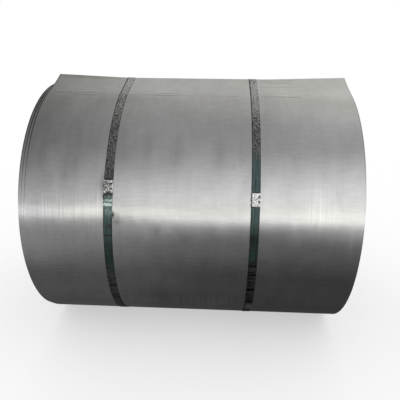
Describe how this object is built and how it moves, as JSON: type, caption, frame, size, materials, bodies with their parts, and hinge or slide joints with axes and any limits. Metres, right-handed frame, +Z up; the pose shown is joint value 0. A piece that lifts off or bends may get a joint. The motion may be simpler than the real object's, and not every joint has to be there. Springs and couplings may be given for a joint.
{
  "type": "steel coil",
  "caption": "Coil of bare rolled steel strip lying on its side, with an open bore through it and two painted steel straps closed by crimped seals.",
  "frame": {"origin": "on the floor, under the middle of the coil's length and width", "axes": "+X along the coil's axis, +Z up, the seals face -Y"},
  "size_m": [1.246, 1.036, 1.0684],
  "materials": {
    "strip": "bare satin rolled steel with fine rolling lines round the coil",
    "strap": "thin dark green strapping paint, rubbed grey on top",
    "seal": "bright zinc, dented by the crimping tool"
  },
  "bodies": {
    "root": {"wound_strip": "strip", "strap_left": "strap", "seal_left": "seal", "strap_right": "strap", "seal_right": "seal"}
  },
  "joints": []
}
